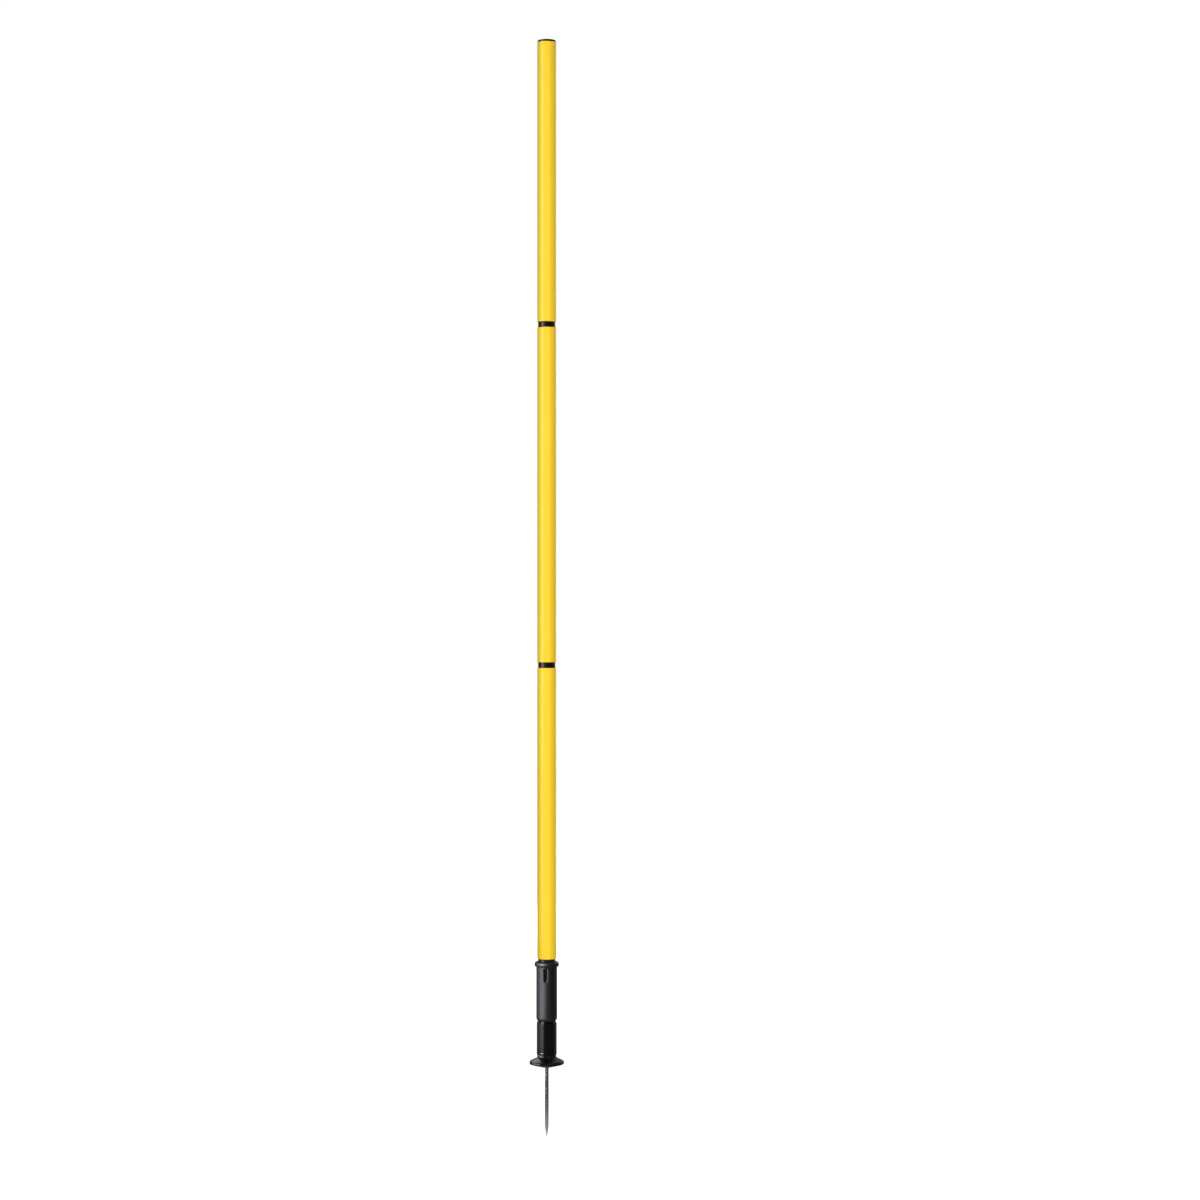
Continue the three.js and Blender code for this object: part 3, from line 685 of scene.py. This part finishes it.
# Where the socket sleeve's lip, slot and seats are
SLEEVE_LOW, LIP_TOP = (corner.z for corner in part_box("socket_sleeve"))
SLEEVE_SHOULDER = SLEEVE_LOW + BOOT_OVERLAP
SOCKET_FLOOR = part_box("foot_ferrule")[0].z - SEAT_GAP
LIP_RADIUS = SLEEVE_RADIUS + LIP_OVERHANG
MOUTH_RADIUS = SOCKET_BORE + MOUTH_CHAMFER
LIP_FLAT_RADIUS = MOUTH_RADIUS + LIP_FLAT_WIDTH


def bead_reach(radius):
    """How far the CAD's bead reaches above and below its middle, at a radius."""
    return math.sqrt(BEAD_RADIUS ** 2 - (radius - (LIP_RADIUS - BEAD_RADIUS)) ** 2)


LIP_BOTTOM = LIP_TOP - bead_reach(LIP_FLAT_RADIUS) - bead_reach(SLEEVE_RADIUS)
SLOT_HIGH = LIP_BOTTOM - SLOT_BELOW_LIP
SLOT_LOW = SLOT_HIGH - SLOT_LENGTH


def slot_cutter():
    """The slot pushed out through the wall, flaring with soft edges where it leaves the sleeve."""
    flare = SLEEVE_RADIUS - SCOOP_DEPTH
    stations = [(0, 0), (flare, 0)]
    for k in range(1, SCOOP_EDGE_STEPS + 1):
        turn = SCOOP_EDGE_TURN * k / SCOOP_EDGE_STEPS
        stations.append((
            flare + SCOOP_EDGE_RADIUS * math.sin(turn),
            SCOOP_EDGE_RADIUS * (1 - math.cos(turn)),
        ))
    stations.append((SLEEVE_RADIUS + SCOOP_OVERRUN, SCOOP_GROWTH))
    vertices = []
    for depth, grow in stations:
        half = SLOT_HALF + grow
        outline = [(half, SLOT_HIGH + grow), (-half, SLOT_HIGH + grow)]
        for k in range(SLOT_END_STEPS + 1):
            turn = math.pi + math.pi * k / SLOT_END_STEPS
            outline.append((half * math.cos(turn), SLOT_LOW + SLOT_HALF + half * math.sin(turn)))
        vertices += [(x, -depth, z) for x, z in outline]
    return make_object("cutter", vertices, ring_faces(len(stations), len(outline)))


def sleeve_piece():
    profile = rounded([
        (PLUG_SOCKET_BORE, SLEEVE_LOW),
        (BOOT_SEAT_RADIUS, SLEEVE_LOW, BOOT_SEAT_FILLET),
        (BOOT_SEAT_RADIUS, SLEEVE_SHOULDER),
        *((SLEEVE_RADIUS - inset * MM, SLEEVE_SHOULDER + rise * MM, fillet * MM)
          for inset, rise, fillet in GROOVE_ROWS),
        (SLEEVE_RADIUS, LIP_TOP - LIP_REACH, LIP_FOOT_FILLET),
        *((LIP_RADIUS - inset * MM, LIP_TOP - drop * MM, fillet * MM)
          for inset, drop, fillet in LIP_ROWS),
        (LIP_FLAT_RADIUS + LIP_CROWN_WIDTH, LIP_TOP, LIP_CROWN_FILLET),
        (MOUTH_RADIUS, LIP_TOP, MOUTH_FILLET),
        (SOCKET_BORE, LIP_TOP - MOUTH_CHAMFER, MOUTH_FILLET),
        (SOCKET_BORE, SOCKET_FLOOR, FLOOR_FILLET),
        (SCREW_HOLE_RADIUS, SOCKET_FLOOR, EDGE_FILLET),
        (SCREW_HOLE_RADIUS, SOCKET_FLOOR - FLOOR_THICKNESS),
        (PLUG_SOCKET_BORE, SOCKET_FLOOR - FLOOR_THICKNESS),
    ], closed=False)
    piece = lathe("socket_sleeve_skin", profile)
    combine(piece, slot_cutter(), "DIFFERENCE")
    keyway = box_piece(
        (-SLOT_HALF, -(SOCKET_BORE + KEYWAY_DEPTH), SLOT_HIGH - CUT_OVERRUN),
        (SLOT_HALF, 0, LIP_TOP + CUT_OVERRUN),
    )
    combine(piece, keyway, "DIFFERENCE")
    dress(piece, sleeve_black, "sleeve_black", "socket", "socket_sleeve")


sleeve_piece()


def ferrule_piece():
    """It fills the socket below its shoulder and the tube above it. Its lug lies in the slot."""
    low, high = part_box("foot_ferrule")
    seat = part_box("lower_tube")[0].z + FERRULE_RISE - SEAT_GAP
    wide_bore = BAND_RADIUS - FERRULE_WALL
    profile = rounded([
        (wide_bore, low.z, EDGE_FILLET),
        *lead_in(BAND_RADIUS, low.z, 1, FERRULE_LEAD_IN_DEPTH),
        (BAND_RADIUS, seat, EDGE_FILLET),
        (PLUG_RADIUS, seat),
        *lead_in(PLUG_RADIUS, high.z, -1),
        (PLUG_BORE, high.z, EDGE_FILLET),
        (PLUG_BORE, seat),
        (wide_bore, seat - FERRULE_WALL),
    ])
    piece = lathe("foot_ferrule_skin", profile)
    lug_top = BAND_RADIUS + LUG_HEIGHT
    lug_side = (LUG_RADIUS, lug_top - LUG_CROWN_HEIGHT)
    lug_profile = [(0, wide_bore + LUG_ROOT), (LUG_RADIUS, wide_bore + LUG_ROOT), lug_side]
    lug_profile += curve(lug_side, (LUG_RADIUS, lug_top), (0, lug_top))
    lug = lathe("lug", lug_profile, SMALL_SIDES, closed=False)
    turn_mesh(lug, math.pi / 2, "X")
    raise_mesh(lug, SLOT_LOW + SLIDE_GAP + LUG_RADIUS)
    combine(piece, lug, "UNION")
    rib_ring(piece, BAND_RADIUS, low.z, LIP_TOP, math.pi / RIB_COUNT)
    dress(piece, fitting, "fitting_black", "lower_section", "foot_ferrule")


ferrule_piece()

# Where the base bends, and what the boot and the spring leave for each other
BOOT_LOW, BOOT_HIGH = (corner.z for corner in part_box("boot"))
BOOT_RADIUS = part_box("boot")[1].x
BOOT_BORE = BOOT_RADIUS - BOOT_WALL
PIVOT = frame["joints"][0]["pos_m"][2]
BEND_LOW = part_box("lower_spring_plug")[0].z + PLUG_SHANK_LENGTH + PLUG_FLANGE_THICKNESS
BEND_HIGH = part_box("upper_spring_plug")[1].z - PLUG_SHANK_LENGTH - PLUG_FLANGE_THICKNESS
COIL_RADIUS = BOOT_BORE - SPRING_TO_BOOT - WIRE_RADIUS


def boot_half(name, outline):
    """Half of the boot, from one end of its outer surface to the other. The two meet at the pivot."""
    inner_end = (BOOT_BORE, outline[-1][1])
    profile = rounded([(BOOT_BORE, outline[0][1]), *outline, inner_end], closed=False)
    return dress(lathe(name, profile, longest=BOOT_RING_SPACING), boot_black, "boot_black")


boot_side = BOOT_RADIUS - BOOT_INSET
hem_side = BOOT_RADIUS + HEM_SWELL
lower_boot = boot_half("boot_lower_half", [
    (hem_side, BOOT_LOW, HEM_FILLET),
    (hem_side, BOOT_LOW + HEM_HEIGHT, HEM_END_FILLET),
    (boot_side, BOOT_LOW + HEM_END_HEIGHT, HEM_END_FILLET),
    (boot_side, PIVOT),
])
upper_boot = boot_half("boot_upper_half", [
    (boot_side, PIVOT),
    (boot_side, BOOT_HIGH - BOOT_SLOPE_HEIGHT, BOOT_SLOPE_FILLET),
    (BOOT_RADIUS - BOOT_SLOPE_WIDTH, BOOT_HIGH, BOOT_TOP_FILLET),
])
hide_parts("boot")
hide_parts("boot")
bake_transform(lower_boot)
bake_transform(upper_boot)


def spring_line():
    """The wire's centreline as in the CAD: tail, bend, coil, bend, tail."""
    low = BEND_LOW + COIL_SEAT_GAP + WIRE_RADIUS
    high = BEND_HIGH - COIL_SEAT_GAP - WIRE_RADIUS
    reach = TAIL_BEND_RADIUS + TAIL_LENGTH
    bends = []
    for k in range(TAIL_BEND_STEPS + 1):
        turn = math.pi / 2 * k / TAIL_BEND_STEPS
        bends.append((TAIL_BEND_RADIUS * math.cos(turn), TAIL_BEND_RADIUS * (1 - math.sin(turn))))
    points = [(COIL_RADIUS, -TAIL_BEND_RADIUS, low - reach)]
    points += [(COIL_RADIUS, -aside, low - beyond) for aside, beyond in bends]
    steps = SPRING_TURNS * STEPS_PER_TURN
    for k in range(1, steps):
        turn = 2 * math.pi * k / STEPS_PER_TURN
        height = low + (high - low) * k / steps
        points.append((COIL_RADIUS * math.cos(turn), COIL_RADIUS * math.sin(turn), height))
    points += [(COIL_RADIUS, aside, high + beyond) for aside, beyond in reversed(bends)]
    points.append((COIL_RADIUS, TAIL_BEND_RADIUS, high + reach))
    return [Vector(p) for p in points]


def wire_piece(name, line):
    vertices = []
    side = Vector((1, 0, 0))
    for i, centre in enumerate(line):
        forward = (line[min(i + 1, len(line) - 1)] - line[max(i - 1, 0)]).normalized()
        side = (side - forward * side.dot(forward)).normalized()
        across = forward.cross(side)
        for k in range(WIRE_SIDES):
            turn = 2 * math.pi * k / WIRE_SIDES
            vertices.append(
                centre + side * WIRE_RADIUS * math.cos(turn) + across * WIRE_RADIUS * math.sin(turn)
            )
    piece = make_object(name, vertices, ring_faces(len(line), WIRE_SIDES))
    return dress(piece, wire_steel, "steel")


wire = spring_line()
halfway = min(range(len(wire)), key=lambda i: abs(wire[i].z - PIVOT))
lower_wire = wire_piece("return_spring_lower_half", wire[:halfway + 1])
upper_wire = wire_piece("return_spring_upper_half", wire[halfway:])
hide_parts("return_spring")
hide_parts("return_spring")
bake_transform(lower_wire)
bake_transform(upper_wire)


def foot_piece():
    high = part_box("foot_flange")[1]
    radius = high.x
    neck = BOOT_RADIUS - NECK_INSET
    across = radius - FOOT_FLAT_RADIUS
    width = radius - neck
    rim_top = FOOT_CONE_HEIGHT + FOOT_RIM_THICKNESS
    neck_base = rim_top + FOOT_SLOPE_HEIGHT
    shoulder = neck_base + NECK_HEIGHT
    cone_out, cone_up = FOOT_CONE_SHARES
    rim_in, rim_up = RIM_TOP_SHARES
    fillet_in, fillet_up = NECK_FOOT_SHARES
    cone_end = (FOOT_FLAT_RADIUS + across * cone_out, FOOT_CONE_HEIGHT * cone_up)
    rim_end = (radius - width * rim_in, rim_top + FOOT_SLOPE_HEIGHT * rim_up)
    neck_foot = (radius - width * fillet_in, rim_top + FOOT_SLOPE_HEIGHT * fillet_up)
    profile = [(SPIKE_HOLE_RADIUS, EDGE_FILLET), (SPIKE_HOLE_RADIUS + EDGE_FILLET, 0)]
    profile += rounded([
        (SPIKE_HOLE_RADIUS, 0),
        (FOOT_FLAT_RADIUS, 0, FOOT_FLAT_FILLET),
        cone_end,
    ], closed=False)[1:]
    profile += curve(cone_end, (radius, FOOT_CONE_HEIGHT * FOOT_TURN_SHARE), (radius, FOOT_CONE_HEIGHT))
    profile.append((radius, rim_top))
    profile += curve((radius, rim_top), (radius, rim_top + FOOT_SLOPE_HEIGHT * rim_up / 2), rim_end)
    profile.append(neck_foot)
    profile += curve(neck_foot, (neck, rim_top + FOOT_SLOPE_HEIGHT * NECK_FILLET_SHARE),
                     (neck, neck_base))
    shank_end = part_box("lower_spring_plug")[0].z - SEAT_GAP
    pocket_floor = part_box("spike_washer")[0].z - SEAT_GAP
    profile += rounded([
        (neck, neck_base),
        (neck, shoulder, NECK_EDGE_FILLET),
        (BOOT_SEAT_RADIUS, shoulder),
        (BOOT_SEAT_RADIUS, high.z, BOOT_SEAT_FILLET),
        (PLUG_SOCKET_BORE, high.z, EDGE_FILLET),
        (PLUG_SOCKET_BORE, shank_end),
        (HEAD_POCKET_RADIUS, shank_end),
        (HEAD_POCKET_RADIUS, pocket_floor),
        (SPIKE_HOLE_RADIUS, pocket_floor),
    ], closed=False)[1:]
    piece = lathe("foot_flange_skin", profile)
    pin_low, pin_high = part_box("foot_pin")
    hole_profile = [(0, -radius), (PIN_HOLE_RADIUS, -radius), (PIN_HOLE_RADIUS, radius), (0, radius)]
    pin_hole = lathe("cutter", hole_profile, SMALL_SIDES, closed=False)
    turn_mesh(pin_hole, math.pi / 2, "Y")
    raise_mesh(pin_hole, (pin_low.z + pin_high.z) / 2)
    combine(piece, pin_hole, "DIFFERENCE")
    dress(piece, foot_black, "foot_black", "foot", "foot_flange")


foot_piece()


def spike_piece():
    low, high = (corner.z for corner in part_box("spike"))
    head_low = high - SPIKE_HEAD_HEIGHT
    tip_side = (SPIKE_TIP_RADIUS, low + SPIKE_TIP_HEIGHT)
    profile = [(0, low)]
    profile += curve((0, low), (SPIKE_TIP_TURN, low), tip_side, SPIKE_TIP_STEPS)
    profile += rounded([
        tip_side,
        (SPIKE_RADIUS, low + SPIKE_POINT_LENGTH, SPIKE_POINT_FILLET),
        (SPIKE_RADIUS, head_low),
        (SPIKE_HEAD_RADIUS, head_low, EDGE_FILLET),
        (SPIKE_HEAD_RADIUS, high, SPIKE_HEAD_FILLET),
        (0, high),
    ], closed=False)[1:]
    piece = lathe("spike_skin", profile, SMALL_SIDES, closed=False)
    dress(piece, bright_steel, "steel", "foot", "spike")


spike_piece()


def tapered_plug(node, body, tip, upward):
    """The CAD's plug with its stem tapered, so that the coil clears it when the base bends."""
    source = frame["nodes"][node]
    mesh = source.data
    piece = make_object(node + "_skin", [source.matrix_world @ v.co for v in mesh.vertices],
                        [face.vertices for face in mesh.polygons])
    stem = COIL_RADIUS - WIRE_RADIUS - SLIDE_GAP
    outer = stem + TAPER_OVERRUN
    narrow = stem - TAPER_WIDTH
    start = tip - upward * TAPER_LENGTH
    beyond = tip + upward * TAPER_OVERRUN
    ring = [(outer, start), (outer, beyond), (narrow, beyond), (narrow, tip), (stem, start)]
    combine(piece, lathe("cutter", ring), "DIFFERENCE")
    dress(piece, fitting, "fitting_black", body, node)


tapered_plug("lower_spring_plug", "foot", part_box("lower_spring_plug")[1].z, upward=1)
tapered_plug("upper_spring_plug", "socket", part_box("upper_spring_plug")[0].z, upward=-1)

for node in ("spike_washer", "foot_pin", "socket_washer", "socket_screw"):
    kept = frame["nodes"][node]
    kept.data.materials.clear()
    kept.data.materials.append(fastener_steel)


def polar(degrees_left, distance, height):
    """A place by its angle to the left of the camera's side of the pole."""
    turn = math.radians(degrees_left) - STUDIO_TURN
    return (-distance * math.sin(turn), -distance * math.cos(turn), height)


def light(name, place, target, width, height, watts, color=WHITE, glossy=True, diffuse=True):
    data = bpy.data.lights.new(name, "AREA")
    data.shape = "RECTANGLE"
    data.size = width
    data.size_y = height
    data.energy = watts
    data.color = color
    lamp = bpy.data.objects.new(name, data)
    bpy.context.scene.collection.objects.link(lamp)
    lamp.location = place
    direction = Vector(target) - Vector(place)
    lamp.rotation_euler = direction.to_track_quat("-Z", "Y").to_euler()
    lamp.visible_camera = False
    lamp.visible_glossy = glossy
    lamp.visible_diffuse = diffuse
    return lamp


def softbox(name, turn, distance, width, watts, color=WHITE, glossy=True):
    """A lamp that lights the whole pole from one side."""
    place = polar(turn, distance, SOFTBOX_LEVEL)
    return light(name, place, POLE_MIDDLE, width, SOFTBOX_HEIGHT, watts, color, glossy)


def base_lamp(name, place, target, width, height, watts, pieces):
    """A lamp that only shows as a reflection, and only in the pieces of the base that it names."""
    lamp = light(name, place, target, width, height, watts, COOL, diffuse=False)
    lit = bpy.data.collections.new("lit_by_" + name)
    for piece in pieces:
        lit.objects.link(bpy.data.objects[piece])
    lamp.light_linking.receiver_collection = lit


def base_strip(name, turn, width, watts):
    """An upright reflection in the walls of the base."""
    walls = ("socket_sleeve_skin", "boot_lower_half", "boot_upper_half", "spike_skin")
    place = polar(turn, STRIP_DISTANCE, STRIP_LEVEL)
    base_lamp(name, place, BASE_MIDDLE, width, STRIP_HEIGHT, watts, walls)


key_softbox = softbox("key_softbox", turn=56, distance=2.2, width=1.1, watts=39)
softbox("front_fill", turn=-19, distance=3.2, width=1.6, watts=116, color=WARM, glossy=False)
light("low_fill", polar(-8, distance=0.7, height=0.05), BASE_MIDDLE, width=0.6, height=0.25,
      watts=1.1, color=WARM, glossy=False)
softbox("back_fill", turn=166, distance=3.2, width=1.3, watts=100, color=WARM, glossy=False)
back_softbox = softbox("back_softbox", turn=206, distance=2.2, width=0.5, watts=14)

spared = bpy.data.collections.new("spared_by_the_softboxes")
spared.objects.link(bpy.data.objects["foot_flange_skin"])
spared.collection_objects[0].light_linking.link_state = "EXCLUDE"
for lamp in (key_softbox, back_softbox):
    lamp.light_linking.receiver_collection = spared

base_strip("base_strip_52", turn=52, width=0.44, watts=0.44352)
base_strip("base_strip_66", turn=66, width=0.7, watts=0.4704)
base_strip("base_strip_84", turn=84, width=1.1, watts=0.4312)
base_strip("back_strip_202", turn=202, width=0.3, watts=0.42)
base_strip("back_strip_158", turn=158, width=0.3, watts=0.2)

SLEEVE = ("socket_sleeve_skin",)
SLEEVE_AND_BOOT = ("socket_sleeve_skin", "boot_lower_half")
FOOT = ("foot_flange_skin",)
for name, turn, distance, level, target, width, height, watts, pieces in (
    ("base_glint", 57, 1.2, 0.44, BASE_MIDDLE, 0.3, 0.24, 15, SLEEVE_AND_BOOT),
    ("lip_fill", 34, 1.2, 0.44, BASE_MIDDLE, 0.7, 0.3, 10.5, SLEEVE),
    ("foot_glint", 154, 0.9, 0.86, FOOT_MIDDLE, 0.4, 0.78, 1.5, FOOT),
    ("foot_back_glint", -26, 0.9, 0.86, FOOT_MIDDLE, 0.4, 0.78, 1.1, FOOT),
    ("neck_glint", 70, 0.14, 0.002, FOOT_BOTTOM, 0.15, 0.022, 0.07, FOOT),
):
    base_lamp(name, polar(turn, distance, level), target, width, height, watts, pieces)


def studio_world():
    """White to the camera. Reflections see it bright behind the pole and dark elsewhere."""
    world = bpy.data.worlds.new("studio")
    bpy.context.scene.world = world
    n = Nodes(world, "Generated")
    seen, reflected = n.rays()
    behind = n.ranged(
        n.along(n.place, "Y"), start=-0.3, end=1, low=MIRROR_DARK, high=MIRROR_BRIGHT, smooth=True,
    )
    unseen = n.mixed_value(reflected, AMBIENT, behind)
    background = n.tree.nodes["Background"]
    n.put(background.inputs["Color"], WHITE)
    n.put(background.inputs["Strength"], n.mixed_value(seen, unseen, 1))


def floor_piece():
    """A white floor that keeps the shadow. In reflections it glows as a painted reflection: bright
    behind the pole, and in a ring close round it.
    """
    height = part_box("spike")[0].z
    corners = ((-1, -1), (1, -1), (1, 1), (-1, 1))
    floor = make_object(
        "floor", [(x * FLOOR_HALF, y * FLOOR_HALF, height) for x, y in corners], [(0, 1, 2, 3)],
    )
    n = Nodes(bpy.data.materials.new("floor"))
    seen, reflected = n.rays()
    flat = n.vector_math("MULTIPLY", n.place, (1, 1, 0))
    reach = n.vector_math("LENGTH", flat)
    away = n.along(n.vector_math("NORMALIZE", flat), "Y")
    # Close round the pole the floor glows in reflections only: a painted reflection in the walls of the
    # base.
    close = n.ranged(reach, start=0.12, end=0.26, low=0.35, high=MIRROR_DARK)
    far = n.ranged(reach, start=0.5, end=0.9)
    behind = n.ranged(away, start=-0.2, end=1, low=MIRROR_DARK, high=MIRROR_BRIGHT)
    mirrored = n.math("MAXIMUM", n.math("MULTIPLY", far, behind), close)
    mirrored = n.math("MULTIPLY", n.math("MULTIPLY", reflected, mirrored), FLOOR_GLOW)
    shown = n.ranged(reach, start=1.5, end=4, low=FLOOR_GLOW, high=FLOOR_FAR_GLOW)
    level = n.math("MAXIMUM", n.math("MULTIPLY", seen, shown), mirrored)
    color = n.mixed(seen, (0.07, 0.07, 0.07), (0.42, 0.42, 0.42))
    floor.data.materials.append(n.finish(
        Base_Color=color, Roughness=0.9, Specular_IOR_Level=0,
        Emission_Color=WHITE, Emission_Strength=level,
    ))


studio_world()
floor_piece()

camera_data = bpy.data.cameras.new("camera")
camera_data.sensor_width = SENSOR_MM
camera_data.lens = LENS_MM
camera_data.clip_end = CAMERA_REACH
camera = bpy.data.objects.new("camera", camera_data)
bpy.context.scene.collection.objects.link(camera)
camera.location = (
    CAMERA_RIGHT * math.cos(STUDIO_TURN) + CAMERA_AWAY * math.sin(STUDIO_TURN),
    CAMERA_RIGHT * math.sin(STUDIO_TURN) - CAMERA_AWAY * math.cos(STUDIO_TURN),
    CAMERA_HEIGHT,
)
camera.rotation_euler = (math.pi / 2, 0, STUDIO_TURN)
bpy.context.scene.camera = camera
bpy.context.scene.view_settings.view_transform = "Standard"
